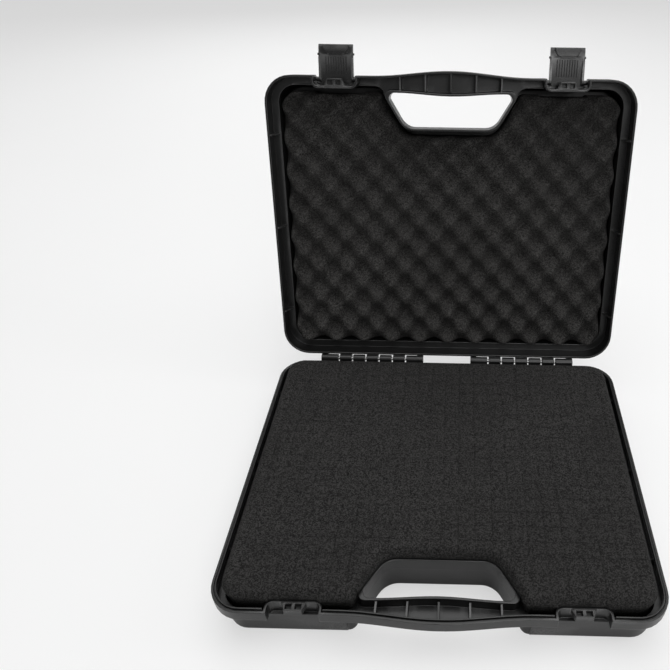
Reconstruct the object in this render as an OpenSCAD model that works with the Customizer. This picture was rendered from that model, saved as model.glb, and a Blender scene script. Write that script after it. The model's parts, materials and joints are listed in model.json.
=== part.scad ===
// Hinged, foam-lined carry case for a handheld instrument.
// Base lies flat and open; the lid leans back on its hinge stop; latches are flipped up.
// Origin: centre of the base's underside. X runs along the hinge, -Y is the handle side, +Z is up.

/* [Case] */
// Outer width at the rim, along the hinge
case_w = 340; // [300:1:420]
// Outer depth at the rim, handle side to hinge side
case_d = 275; // [245:1:340]
// Corner radius of the rim in plan
corner_r = 25; // [16:0.5:32]
// Height of the base from its underside to the parting plane
base_h = 40; // [34:0.5:60]
// Height of the lid from the parting plane to its outer panel
lid_h = 48; // [42:0.5:70]
// Moulded wall thickness
wall = 2.5; // [1.8:0.1:3.2]
// How far the body walls stand in from the rim band
band_step = 6; // [4.5:0.1:9]
// Height of the rim band on the base
base_band_h = 12; // [10:0.5:18]
// Height of the rim band on the lid
lid_band_h = 19; // [16.5:0.5:24]
// Thickness of the rim band's skirt
skirt_t = 2; // [1.5:0.1:2.4]
// Radius that rounds the band where it turns in to the body
band_edge_r = 3; // [1:0.25:4]
// Inward lean of each body wall from band to panel
draft = 1.5; // [0.5:0.25:4]
// Radius round the edge of each outer panel
panel_edge_r = 5; // [2:0.5:8]
// Gap left between the two rims when the case is shut
parting_gap = 0.3; // [0.1:0.05:0.6]

/* [Rim lip] */
// Height of the base's locating lip above its rim
lip_rise = 1; // [0.5:0.1:2]
// Thickness of the locating lip
lip_t = 1.1; // [0.8:0.1:1.8]
// Clearance between the lip and the lid's skirt
lip_gap = 0.8; // [0.4:0.05:1.2]
// Depth of the groove between the base's skirt and the lip
lip_groove = 1.5; // [0.8:0.1:3]

/* [Handle] */
// Half-width of the hand hole on the grip side
hole_half_near = 60; // [50:0.5:70]
// Half-width of the hand hole on the far side
hole_half_far = 41; // [34:0.5:48]
// Distance from the rim's front edge to the grip side of the hole
hole_near = 14; // [12:0.5:18]
// Distance from the rim's front edge to the far side of the hole
hole_far = 45; // [42:0.5:56]
// Corner radius of the hole on the grip side
hole_r_near = 5; // [3:0.5:8]
// Corner radius of the hole on the far side
hole_r_far = 15; // [8:0.5:18]
// How far the grip's inner edge bows into the hole
grip_bow = 2.5; // [0:0.25:4]
// How far the grip arches out in front of the rim
grip_arch = 5; // [0:0.5:8]
// Half-width of the arch
grip_arch_half = 72; // [64:1:76]
// Wall round the hand hole
hole_wall = 2; // [1.5:0.1:2.5]
// How much the hand pocket opens out between the rim and the panel
pocket_draft = 3; // [1:0.25:5]
// Radius of the pocket's corners at the panel's front edge
pocket_mouth_r = 10; // [4:1:14]
// Number of ribs inside each half of the grip
grip_ribs = 5; // [3:2:7]
// Pitch of the grip ribs
grip_rib_pitch = 23; // [15:0.5:24]
// Thickness of ribs and gussets
rib_t = 1.5; // [1:0.1:2]
// How far ribs stay below the rim
rib_drop = 1.5; // [1:0.5:5]

/* [Latches] */
// Distance of each latch's middle from its side of the case
latch_in = 64.5; // [55:0.5:70]
// Width of a latch
latch_w = 31.5; // [26:0.5:34]
// Thickness of a latch plate
latch_t = 2.5; // [1.8:0.1:3]
// Reach of a latch from its pivot to its free end
latch_reach = 30; // [28:0.5:34]
// Reach of a latch behind its pivot
latch_tail = 2.5; // [2:0.1:3]
// Thickness of a latch's side walls
latch_side_t = 2; // [1.5:0.1:2.5]
// Clearance between a latch's shoulder and the side of its recess
latch_side_gap = 0.25; // [0.2:0.05:0.5]
// Width of a latch recess
recess_w = 38; // [36:0.5:44]
// Depth of a latch recess from the rim's front edge
recess_d = 9; // [8.5:0.25:12]
// Radius of the recess corners in plan
recess_r = 4; // [2:0.5:6]
// Wall round a latch recess
recess_wall = 2; // [1.5:0.1:2.5]
// Distance of the latch pivot behind the rim's front edge
pivot_in = 3.7; // [3.5:0.1:4]
// Distance of the latch pivot above the lid's rim
pivot_up = 14.5; // [14:0.1:14.5]
// Radius of the latch's pivot pegs
peg_r = 1.5; // [1.2:0.05:1.6]
// Radial clearance round a pivot peg
peg_gap = 0.08; // [0.05:0.01:0.1]
// Width of the catch boss where it leaves the recess wall
boss_root = 19; // [16:0.5:21]
// Width of the catch boss at its tip
boss_tip = 13; // [10:0.5:15]
// How far the catch boss stands out of the recess wall
boss_out = 6.5; // [5:0.1:6.5]
// Height of a catch boss along the band
boss_h = 6; // [5:0.25:7]
// How far the latch's detent ridge reaches under the boss
detent = 1.2; // [0.8:0.1:1.5]
// Clearance between a closed latch and what it closes on
latch_gap = 0.3; // [0.2:0.05:0.5]

/* [Hinge] */
// Distance of the hinge axis behind the rim
hinge_out = 4.5; // [4.2:0.1:6]
// Radius of a hinge knuckle
knuckle_r = 4.1; // [3.5:0.1:4.1]
// Radius of a hinge pin
hinge_pin_r = 1.5; // [1:0.1:2]
// Radial clearance between a pin and its knuckles
pin_gap = 0.06; // [0.03:0.01:0.1]
// Distance of each hinge's inner end from the case's middle
hinge_in = 25; // [18:1:30]
// Number of knuckles in each hinge
knuckles = 7; // [5:2:9]
// Pitch of the knuckles
knuckle_pitch = 14; // [11:0.5:14]
// Gap between neighbouring knuckles
knuckle_gap = 1.6; // [0.4:0.1:2]
// Length of the sloped cheek at each end of a hinge
cheek_l = 4.5; // [3:0.5:5]
// How far the lid opens, from shut to its stop
open_angle = 106; // [90:1:112]

/* [Foam] */
// Gap between a foam and the shell round it
foam_gap = 0.6; // [0.4:0.1:1]
// Thickness of the plain pad under the diced pad
pad_t = 10; // [6:0.5:14]
// How far the diced pad stands above the base's rim
foam_proud = 11; // [4:0.5:12]
// Pitch of the diced pad's cut lines
dice_pitch = 13.5; // [10:0.5:25]
// Width of a cut line
dice_cut = 0.6; // [0.4:0.1:1]
// Depth of the cut lines' open mouth
dice_depth = 1.5; // [0.8:0.1:4]
// How far the lid foam's crests stay behind the lid's rim
crest_back = 15; // [13:0.5:20]
// Height of the lid foam's waves, crest to hollow
wave_h = 14; // [6:0.5:18]
// Spacing of crest and hollow across the lid foam
wave_x = 14.8; // [12:0.2:20]
// Spacing of crest and hollow along the lid foam
wave_y = 16; // [12:0.2:20]

/* [Outer panel] */
// Length of a corner pad
pad_l = 66; // [50:1:76]
// Width of a corner pad
pad_w = 22; // [16:1:28]
// Depth of the recess in a corner pad
pad_recess = 1; // [0.5:0.1:1.4]
// Width of each raised bar in a corner pad
pad_bar = 5; // [3:0.5:7]
// Length of the pit at each end of a corner pad
pad_pit = 3; // [2:0.5:5]
// Distance of the pads' middle from the case's middle, along X
pad_x = 108; // [95:1:112]
// Distance of the hinge-side pads from the case's middle
pad_y_rear = 92; // [80:1:96]
// Distance of the handle-side pads from the case's middle
pad_y_front = 82; // [75:1:88]
// Width of the low panel in the middle of the lid
plateau_w = 170; // [130:1:190]
// Depth of the low panel in the middle of the lid
plateau_d = 112; // [90:1:120]
// Rise of the low panel
plateau_rise = 0.8; // [0.4:0.1:1.5]
// Width of the label plate
label_w = 86; // [60:1:100]
// Depth of the label plate
label_d = 54; // [40:1:64]
// Thickness of the label plate
label_t = 0.8; // [0.5:0.1:1.2]
// Clearance round the label plate in its seat
label_gap = 0.3; // [0.2:0.05:0.5]
// Depth of the label plate's seat
label_seat = 0.4; // [0.2:0.05:0.7]

/* [Hidden] */
shell_color = [0.13, 0.13, 0.14];
foam_color = [0.2, 0.19, 0.18];
pin_color = [0.6, 0.6, 0.62];
label_color = [0.1, 0.42, 0.8];

over = 20;                        // how far a cutter runs past what it cuts
arc_steps = 8;                    // facets round each corner of an outline
front = -case_d / 2;              // rim's handle side
rear = case_d / 2;                // rim's hinge side
axis_y = rear + hinge_out;        // hinge axis
wall_in = band_step + wall;       // body wall's inner face, from the rim's edge
hinge_l = knuckles * knuckle_pitch;
hinge_mid = hinge_in + cheek_l + hinge_l / 2;
latch_x = case_w / 2 - latch_in;  // each latch from the case's middle
pivot_y = front + pivot_in;
boss_face = front + recess_d - boss_out;                // boss tip
plate_in = pivot_y - (boss_face - latch_gap);           // pivot to latch plate's inner face
latch_clear = (recess_w - latch_w) / 2 - latch_side_gap; // length of a pivot shoulder
pocket_edge_r = 2;                // radius where the pocket meets the panel
boss_core = 4.5;                  // cores that hollow a catch boss
boss_core_x = 3.6;
boss_core_wall = 1.6;
boss_core_depth = 4;
gusset_pitch = 88;
gusset_shift = 4;
arm_drop = 9;                     // how far a hinge arm runs down the band
stop_gap = 0.15;                  // open lid to the cheeks it rests on
pin_sink = 0.5;                   // pin ends lie this far inside the cheeks
lip_root = 4;                     // how far down the locating lip's root runs
seat_gap = 0.1;                   // under each foam pad
plateau_y = 8;                    // middle of the low panel, behind the case's middle
ridge_t = 1.8;                    // thickness of a latch's detent ridge
lip_l = 7;                        // length of a latch's finger lip
tongue_w = 25;                    // raised tongue inside a latch's lip
tongue_t = 1.2;
tongue_slant = 3.5;               // how far each side of the tongue draws in
shoulder_r = 2.3;                 // shoulder round a pivot peg

// ---- outlines and lofts ---------------------------------------------------------------------------

// Rounds the corners of a convex outline, given counter-clockwise as [x, y, radius].
function rounded(corners) = [
    for (i = [0 : len(corners) - 1])
        let (n = len(corners),
             p = [corners[i].x, corners[i].y],
             r = corners[i].z,
             a = [corners[(i + n - 1) % n].x, corners[(i + n - 1) % n].y] - p,
             b = [corners[(i + 1) % n].x, corners[(i + 1) % n].y] - p,
             ua = a / norm(a),
             ub = b / norm(b),
             half = acos(ua * ub) / 2,
             middle = p + (ua + ub) / norm(ua + ub) * r / sin(half),
             from = atan2(ua.x, -ua.y))
        for (k = [0 : arc_steps])
            let (angle = from + (180 - 2 * half) * k / arc_steps)
            middle + r * [cos(angle), sin(angle)]
];

// The case in plan, inset from its rim.
function plan(inset) =
    let (x = case_w / 2 - inset, y = case_d / 2 - inset, r = max(corner_r - inset, 1))
    rounded([[-x, -y, r], [x, -y, r], [x, y, r], [-x, y, r]]);

// The same with the grip arching out along the handle side.
function band_plan(inset) =
    let (corners = plan(inset), first = arc_steps)
    concat([for (i = [0 : first]) corners[i]],
           [for (i = [-12 : 12])
                [grip_arch_half * i / 12, front + inset - grip_arch * (1 + cos(15 * i)) / 2]],
           [for (i = [first + 1 : len(corners) - 1]) corners[i]]);

// Half-width of the hand hole at a distance from the rim's front edge, grown on every side.
hole_slope = (hole_half_near - hole_half_far) / (hole_far - hole_near);
function hole_half(from_front, grow) =
    hole_half_near - (from_front - hole_near) * hole_slope + grow * sqrt(1 + pow(hole_slope, 2));

// The hand hole through the band, grown on every side. The grip bows into it.
function hole_plan(grow) =
    let (near = hole_near - grow, far = hole_far + grow,
         xn = hole_half(near, grow), xf = hole_half(far, grow),
         corners = rounded([[-xn, front + near, hole_r_near], [xn, front + near, hole_r_near],
                            [xf, front + far, hole_r_far + grow],
                            [-xf, front + far, hole_r_far + grow]]),
         bow_half = xn - 2 * hole_r_near)
    concat([for (i = [0 : arc_steps]) corners[i]],
           [for (i = [-6 : 6])
                [bow_half * i / 6, front + near + grip_bow * (1 + cos(30 * i)) / 2]],
           [for (i = [arc_steps + 1 : len(corners) - 1]) corners[i]]);

// The hand pocket below the band, open through the front, with a round mouth on each side.
mouth_y = band_step + pocket_mouth_r;
mouth_x = hole_half(mouth_y, 0) + pocket_mouth_r;
function pocket_plan(grow) =
    let (far = hole_far + grow, xf = hole_half(far, grow), r = max(pocket_mouth_r - grow, 0.5),
         back = rounded([[-mouth_x, front - over, 1], [mouth_x, front - over, 1],
                         [hole_half(mouth_y, grow), front + mouth_y, 1],
                         [xf, front + far, hole_r_far + grow],
                         [-xf, front + far, hole_r_far + grow],
                         [-hole_half(mouth_y, grow), front + mouth_y, 1]]),
         arc = [for (k = [0 : arc_steps])
                    let (t = 90 - 90 * k / arc_steps)
                    [mouth_x - r * cos(t), front + mouth_y - r * sin(t)]],
         last = 2 * arc_steps + 2,
         turns = [for (i = [3 * (arc_steps + 1) : 5 * (arc_steps + 1) - 1]) back[i]])
    concat([[-mouth_x, front - over], [mouth_x, front - over]], arc, turns,
           [for (k = [0 : arc_steps]) [-arc[arc_steps - k].x, arc[arc_steps - k].y]]);

function at_z(outline, z) = [for (p = outline) [p.x, p.y, z]];

// Skins a solid through rings of equally many points, lowest first.
module loft(rings) {
    n = len(rings[0]);
    top = (len(rings) - 1) * n;
    polyhedron(
        points = [for (ring = rings) each ring],
        faces = concat(
            [[for (i = [0 : n - 1]) i]],
            [for (j = [0 : len(rings) - 2], i = [0 : n - 1], half = [0, 1])
                let (a = j * n + i, b = j * n + (i + 1) % n)
                half == 0 ? [a, a + n, b + n] : [a, b + n, b]],
            [[for (i = [n - 1 : -1 : 0]) top + i]]));
}

// ---- half shells: rim plane at z = 0, open upwards, outer panel at z = -h -------------------------

// The body below the band, with leaning walls and a round panel edge.
module body_outside(h, band_h) {
    loft(concat(
        [for (a = [0 : 22.5 : 90])
            at_z(plan(band_step + draft + panel_edge_r * (1 - sin(a))),
                 -h + panel_edge_r * (1 - cos(a)))],
        [at_z(plan(band_step), -band_h + wall)]));
}

module body_inside(h) {
    r = max(panel_edge_r - wall, 0.5);
    loft([at_z(plan(wall_in + draft + r), -h + wall),
          at_z(plan(wall_in + draft + 0.3 * r), -h + wall + 0.3 * r),
          at_z(plan(wall_in + draft), -h + wall + r),
          at_z(plan(wall_in), -wall)]);
}

// The rim band, rounded where it turns in to the body.
module band_outside(band_h) {
    loft(concat(
        [for (a = [0 : 22.5 : 90])
            at_z(band_plan(band_edge_r * (1 - sin(a))), -band_h + band_edge_r * (1 - cos(a)))],
        [at_z(band_plan(0), 0)]));
}

// The hand pocket that opens the body towards the panel, grown on every side.
module pocket(h, grow) {
    flare = grow + pocket_draft;
    loft([at_z(pocket_plan(flare + pocket_edge_r), -h - over),
          at_z(pocket_plan(flare + pocket_edge_r), -h),
          at_z(pocket_plan(flare + 0.3 * pocket_edge_r), -h + 0.3 * pocket_edge_r),
          at_z(pocket_plan(flare), -h + pocket_edge_r),
          at_z(pocket_plan(grow), 0)]);
}

module through_band(band_h, outline) {
    translate([0, 0, -band_h - 1]) linear_extrude(band_h + over) polygon(outline);
}

function recess_plan(grow) =
    let (half = recess_w / 2 + grow)
    rounded([[-half, front - over, 1], [half, front - over, 1],
             [half, front + recess_d + grow, recess_r + grow],
             [-half, front + recess_d + grow, recess_r + grow]]);

module each_latch() {
    for (side = [-1, 1])
        translate([side * latch_x, 0, 0]) children();
}

module cavity(h, band_h) {
    difference() {
        union() {
            difference() {
                body_inside(h);
                pocket(h, wall);
            }
            translate([0, 0, -band_h + wall])
                linear_extrude(band_h) polygon(band_plan(skirt_t));
        }
        through_band(band_h, hole_plan(hole_wall));
        each_latch() translate([0, 0, -band_h - wall])
            linear_extrude(band_h + wall + over) polygon(recess_plan(recess_wall));
    }
}

// Trapezoid boss in a latch recess, cored from the rim.
module catch_boss() {
    back = front + recess_d + recess_wall / 2;
    difference() {
        translate([0, 0, -boss_h]) linear_extrude(boss_h)
            polygon([[-boss_root / 2, back], [-boss_tip / 2, boss_face],
                     [boss_tip / 2, boss_face], [boss_root / 2, back]]);
        for (side = [-1, 1])
            translate([side * boss_core_x - boss_core / 2, boss_face + boss_core_wall, -boss_core_depth])
                cube([boss_core, boss_out - boss_core_wall - 1, over]);
    }
}

// Ribs across the grip's channel.
module grip_rib_row(band_h) {
    half = (grip_ribs - 1) / 2;
    foot = -band_h + wall / 2;
    intersection() {
        for (i = [-half : half])
            translate([i * grip_rib_pitch - rib_t / 2, front - grip_arch, foot])
                cube([rib_t, grip_arch + hole_near - hole_wall / 2, -rib_drop - foot]);
        translate([0, 0, -band_h]) linear_extrude(band_h) polygon(band_plan(skirt_t / 2));
    }
}

// Gussets that brace the skirt against the shoulder on both sides.
module gussets(band_h) {
    foot = -band_h + wall / 2;
    for (side = [-1, 1], i = [-1 : 1])
        translate([0, i * gusset_pitch + gusset_shift, 0])
            rotate([90, 0, 0]) linear_extrude(rib_t, center = true)
                polygon([[side * (case_w / 2 - skirt_t / 2), foot],
                         [side * (case_w / 2 - skirt_t / 2), -rib_drop - lip_groove],
                         [side * (case_w / 2 - skirt_t - 1), -rib_drop - lip_groove],
                         [side * (case_w / 2 - wall_in + 0.5), -band_h + wall + 1],
                         [side * (case_w / 2 - wall_in + 0.5), foot]]);
}

// Sunk corner pad: two raised bars and a pit at each end.
module corner_pad() {
    gap = (pad_w - 2 * pad_bar) / 2;
    difference() {
        linear_extrude(2 * pad_recess, center = true)
            polygon(rounded([[-pad_l / 2, -pad_w / 2, 2], [pad_l / 2, -pad_w / 2, 2],
                             [pad_l / 2, pad_w / 2, 2], [-pad_l / 2, pad_w / 2, 2]]));
        for (side = [-1, 1])
            translate([-pad_l / 2 + pad_bar, side * (gap + pad_bar) / 2 - pad_bar / 2, -over])
                cube([pad_l - 2 * pad_bar, pad_bar, 2 * over]);
    }
    for (side = [-1, 1])
        translate([side * (pad_l / 2 - pad_pit), 0, 0])
            cube([pad_pit, gap, 3 * pad_recess], center = true);
}

module corner_pads() {
    for (side = [-1, 1]) {
        translate([side * pad_x, pad_y_rear, 0]) corner_pad();
        translate([side * pad_x, -pad_y_front, 0]) corner_pad();
    }
}

// One moulded half, without its hinge.
module half_shell(h, band_h) {
    difference() {
        union() {
            band_outside(band_h);
            difference() {
                body_outside(h, band_h);
                pocket(h, 0);
            }
        }
        cavity(h, band_h);
        through_band(band_h, hole_plan(0));
        each_latch() translate([0, 0, -band_h])
            linear_extrude(band_h + over) polygon(recess_plan(0));
        translate([0, 0, -h]) corner_pads();
    }
    each_latch() catch_boss();
    gussets(band_h);
    grip_rib_row(band_h);
}

// ---- hinge ------------------------------------------------------------------------------------------

// Runs a Y-Z profile along X from 0 to length.
module along_x(length) {
    rotate([90, 0, 90]) linear_extrude(length) children();
}

// A knuckle and the arm that carries it. The axis lies rise above the rim plane.
module knuckle(rise) {
    length = knuckle_pitch - knuckle_gap;
    along_x(length) polygon([[rear - 1, -arm_drop], [axis_y + 0.7 * knuckle_r, rise - 0.7 * knuckle_r],
                             [axis_y, rise], [rear - 1, -1]]);
    translate([0, axis_y, rise]) rotate([0, 90, 0]) cylinder(h = length, r = knuckle_r, $fn = 48);
}

// A sloped cheek that the open lid comes to rest on.
module cheek() {
    lay = open_angle - 90;
    reach = knuckle_r + 5;
    top = (hinge_out - stop_gap - reach * sin(lay)) / cos(lay);
    along_x(cheek_l + knuckle_gap) polygon([[rear - 1, -arm_drop], [axis_y + 0.7 * knuckle_r, -arm_drop + 1],
                              [axis_y + reach, top - 1.5], [axis_y + reach, top],
                              [axis_y + knuckle_r * sin(lay), knuckle_r * cos(lay)],
                              [axis_y, 0], [rear - 1, -1]]);
    translate([0, axis_y, 0]) rotate([0, 90, 0]) cylinder(h = cheek_l + knuckle_gap, r = knuckle_r, $fn = 48);
}

module each_hinge() {
    for (side = [-1, 1])
        translate([side * hinge_mid - hinge_l / 2, 0, 0]) children();
}

module hinge_row(rise, first) {
    each_hinge()
        for (i = [first : 2 : knuckles - 1])
            translate([i * knuckle_pitch + knuckle_gap / 2, 0, 0]) knuckle(rise);
}

module pin_bores(rise) {
    each_hinge()
        translate([-2 * cheek_l, axis_y, rise]) rotate([0, 90, 0])
            cylinder(h = hinge_l + 4 * cheek_l, r = hinge_pin_r + pin_gap, $fn = 48);
}

module hinge_pin(side) {
    length = hinge_l + 2 * cheek_l - 2 * pin_sink;
    color(pin_color)
        translate([side * hinge_mid - length / 2, axis_y, base_h])
            rotate([0, 90, 0]) cylinder(h = length, r = hinge_pin_r, $fn = 48);
}

module hinge_pin_left() { hinge_pin(-1); }

module hinge_pin_right() { hinge_pin(1); }

// ---- base ---------------------------------------------------------------------------------------------

// Locating lip inside the base's rim: the shut lid's skirt drops round it.
module rim_lip() {
    outer = skirt_t + lip_gap;
    difference() {
        union() {
            translate([0, 0, -lip_root]) linear_extrude(lip_root + lip_rise)
                polygon(band_plan(outer));
            translate([0, 0, -lip_root]) linear_extrude(lip_root - lip_groove)
                polygon(band_plan(skirt_t / 2));
        }
        translate([0, 0, -over]) linear_extrude(2 * over) polygon(band_plan(outer + lip_t));
        each_latch() translate([0, 0, -over]) linear_extrude(2 * over)
            polygon(recess_plan(recess_wall + lip_gap));
    }
}

module base_shell() {
    color(shell_color)
        translate([0, 0, base_h])
            difference() {
                union() {
                    half_shell(base_h, base_band_h);
                    rim_lip();
                    hinge_row(0, 0);
                    each_hinge() {
                        translate([-cheek_l, 0, 0]) cheek();
                        translate([hinge_l - knuckle_gap, 0, 0]) cheek();
                    }
                }
                pin_bores(0);
            }
}

// The foam's plan, inset so that it clears the drafted walls.
foam_inset = wall_in + draft + foam_gap;

// A block of foam between two heights, cut round the hand pocket and the latch recesses.
module foam_block(z0, z1, h, band_h) {
    grow = wall + foam_gap;
    r = max(panel_edge_r - wall, 0.5);
    difference() {
        if (z0 < -h + wall + r)
            loft([at_z(plan(foam_inset + r), z0), at_z(plan(foam_inset), z0 + r),
                  at_z(plan(foam_inset), z1)]);
        else
            loft([at_z(plan(foam_inset), z0), at_z(plan(foam_inset), z1)]);
        loft([at_z(pocket_plan(grow + pocket_draft), -h - over),
              at_z(pocket_plan(grow + pocket_draft), -h),
              at_z(pocket_plan(grow), 0),
              at_z(pocket_plan(grow), over)]);
        each_latch() translate([0, 0, -band_h - wall - foam_gap])
            linear_extrude(h) polygon(recess_plan(recess_wall + 2 * foam_gap));
    }
}

module base_foam_pad() {
    bottom = -base_h + wall + seat_gap;
    color(foam_color)
        translate([0, 0, base_h]) foam_block(bottom, bottom + pad_t, base_h, base_band_h);
}

// The pad cut part-way through into small blocks that are picked out to fit an instrument.
module base_foam_diced() {
    bottom = -base_h + wall + pad_t + 2 * seat_gap;
    nx = floor(case_w / 2 / dice_pitch);
    ny = floor(case_d / 2 / dice_pitch);
    color(foam_color)
        translate([0, 0, base_h])
            difference() {
                foam_block(bottom, foam_proud, base_h, base_band_h);
                for (i = [-nx : nx])
                    translate([i * dice_pitch - dice_cut / 2, -case_d, foam_proud - dice_depth])
                        cube([dice_cut, 2 * case_d, over]);
                for (j = [-ny : ny])
                    translate([-case_w, j * dice_pitch - dice_cut / 2, foam_proud - dice_depth])
                        cube([2 * case_w, dice_cut, over]);
            }
}

// ---- lid: made shut over the base, then laid back on its stop -----------------------------------------

module lid_opened() {
    translate([0, axis_y, base_h]) rotate([-open_angle, 0, 0]) translate([0, -axis_y, 0]) children();
}

// From the half shell's own frame, rim plane at z = 0, to the opened lid.
module on_lid() {
    lid_opened() translate([0, 0, parting_gap]) mirror([0, 0, 1]) children();
}

// Low panel that the label sits on, and the label's seat.
module plateau() {
    x = plateau_w / 2;
    y = plateau_d / 2;
    loft([at_z(rounded([[-x, -y, 8], [x, -y, 8], [x, y, 8], [-x, y, 8]]), -plateau_rise),
          at_z(rounded([[-x - 1, -y - 1, 9], [x + 1, -y - 1, 9], [x + 1, y + 1, 9],
                        [-x - 1, y + 1, 9]]), wall / 2)]);
}

function label_plan(grow) =
    let (x = label_w / 2 + grow, y = label_d / 2 + grow, r = 2 + grow)
    rounded([[-x, -y, r], [x, -y, r], [x, y, r], [-x, y, r]]);

module lid_shell() {
    color(shell_color)
        on_lid()
            difference() {
                union() {
                    half_shell(lid_h, lid_band_h);
                    translate([0, plateau_y, -lid_h]) plateau();
                    hinge_row(parting_gap, 1);
                }
                pin_bores(parting_gap);
                each_latch()
                    translate([-recess_w, pivot_y, -pivot_up]) rotate([0, 90, 0])
                        cylinder(h = 2 * recess_w, r = peg_r + peg_gap, $fn = 48);
                translate([0, plateau_y, -lid_h - plateau_rise - over + label_seat])
                    linear_extrude(over) polygon(label_plan(label_gap));
            }
}

module label_plate() {
    color(label_color)
        on_lid()
            translate([0, plateau_y, -lid_h - plateau_rise + label_seat - label_t])
                linear_extrude(label_t) polygon(label_plan(0));
}

// Egg-crate surface over the whole plan, crests at -crest_back.
module wave_block(bottom) {
    nx = ceil(case_w / 2 / wave_x);
    ny = ceil(case_d / 2 / wave_y);
    cols = 2 * nx + 1;
    rows = 2 * ny + 1;
    level = -crest_back - wave_h / 2;
    corner = [for (j = [-ny : ny], i = [-nx : nx])
                 [i * wave_x, j * wave_y, level + wave_h / 2 * cos(180 * i) * cos(180 * j)]];
    middle = [for (j = [-ny : ny - 1], i = [-nx : nx - 1])
                 [(i + 0.5) * wave_x, (j + 0.5) * wave_y, level]];
    x = nx * wave_x;
    y = ny * wave_y;
    base = [[-x, -y, bottom], [x, -y, bottom], [x, y, bottom], [-x, y, bottom]];
    n = len(corner);
    m = n + len(middle);
    function at(i, j) = j * cols + i;
    polyhedron(
        points = concat(corner, middle, base),
        faces = concat(
            [for (j = [0 : rows - 2], i = [0 : cols - 2], k = [0 : 3])
                let (c = n + j * (cols - 1) + i,
                     ring = [at(i, j), at(i, j + 1), at(i + 1, j + 1), at(i + 1, j)])
                [ring[k], ring[(k + 1) % 4], c]],
            [[m, m + 1, m + 2, m + 3]],
            [concat([for (i = [cols - 1 : -1 : 0]) at(i, 0)], [m, m + 1])],
            [concat([for (i = [0 : cols - 1]) at(i, rows - 1)], [m + 2, m + 3])],
            [concat([for (j = [0 : rows - 1]) at(0, j)], [m + 3, m])],
            [concat([for (j = [rows - 1 : -1 : 0]) at(cols - 1, j)], [m + 1, m + 2])]));
}

module lid_foam() {
    bottom = -lid_h + wall + seat_gap;
    color(foam_color)
        on_lid()
            intersection() {
                foam_block(bottom, -crest_back + 1, lid_h, lid_band_h);
                wave_block(bottom - 1);
            }
}

// ---- latches: drawn shut about their pivot, then flipped up ---------------------------------------------

module latch(side) {
    half = latch_w / 2;
    outer = -plate_in - latch_t;
    ridge_z = -(pivot_up + parting_gap + boss_h + latch_gap);
    color(shell_color)
        lid_opened()
            translate([side * latch_x, pivot_y, parting_gap + pivot_up])
                rotate([-90, 0, 0]) {
                    latch_plate(half, outer);
                    for (hand = [-1, 1])
                        translate([hand * (half - latch_side_t / 2) - latch_side_t / 2, 0, 0])
                            latch_cheek();
                    // detent ridge that snaps under the base's boss
                    translate([-boss_tip / 2, 0, ridge_z])
                        along_x(boss_tip)
                            polygon([[outer + latch_t / 2, 0.5 - ridge_t],
                                     [-plate_in + latch_gap + detent, -ridge_t * 0.8],
                                     [-plate_in + latch_gap + detent, 0],
                                     [outer + latch_t / 2, 0]]);
                    latch_tongue();
                    latch_pegs(half);
                }
}

// Plate with a finger lip curling out at its free end.
module latch_plate(half, outer) {
    translate([-half, 0, 0]) along_x(2 * half)
        polygon([[-plate_in, latch_tail], [-plate_in, -latch_reach + lip_l],
                 [-plate_in - 0.8, -latch_reach + 0.4 * lip_l], [-plate_in - 2.2, -latch_reach],
                 [outer - 1.6, -latch_reach], [outer - 0.9, -latch_reach + 0.5 * lip_l],
                 [outer, -latch_reach + lip_l], [outer, latch_tail - 0.8],
                 [outer + 0.8, latch_tail]]);
}

// Raised tongue on the lip's inner face, narrower towards the pivot.
module latch_tongue() {
    x = tongue_w / 2;
    tip = latch_reach - 0.4;
    root = latch_reach - lip_l - 0.4;
    translate([0, -plate_in + tongue_t, 0]) rotate([90, 0, 0])
        linear_extrude(tongue_t + 2.2)
            polygon(rounded([[-x, -tip, 0.6], [x, -tip, 0.6],
                             [x - tongue_slant, -root, 2], [tongue_slant - x, -root, 2]]));
}

// Side wall of the latch, round about the pivot.
module latch_cheek() {
    rotate([90, 0, 90]) linear_extrude(latch_side_t)
        union() {
            circle(r = latch_tail, $fn = 48);
            polygon([[-plate_in - latch_t / 2, latch_tail - 0.3], [0, latch_tail - 0.3],
                     [latch_tail - 0.3, -2], [0.5, -latch_reach + 12],
                     [-plate_in - latch_t / 2, -latch_reach + lip_l]]);
        }
}

// Shoulders and pegs that the latch turns on, and nubs that click it shut.
module latch_pegs(half) {
    for (hand = [-1, 1]) {
        translate([hand * (half - 1), 0, 0]) rotate([0, hand * 90, 0])
            cylinder(h = latch_clear + 1, r = shoulder_r, $fn = 48);
        translate([hand * (half - 1), 0, 0]) rotate([0, hand * 90, 0])
            cylinder(h = latch_clear + latch_side_gap + recess_wall + 0.8, r = peg_r, $fn = 48);
        translate([hand * (half - 1), -plate_in - latch_t / 2, -latch_reach + lip_l + 1.5])
            rotate([0, hand * 90, 0]) cylinder(h = 2, r = 1, $fn = 24);
    }
}

module latch_left() { latch(-1); }

module latch_right() { latch(1); }

base_shell();
lid_shell();
latch_left();
latch_right();
hinge_pin_left();
hinge_pin_right();
base_foam_pad();
base_foam_diced();
lid_foam();
label_plate();
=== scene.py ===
import json
import math

import bmesh
import bpy
import numpy as np
from mathutils import Matrix, Vector
from mathutils.bvhtree import BVHTree
from mathutils.geometry import delaunay_2d_cdt


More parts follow.
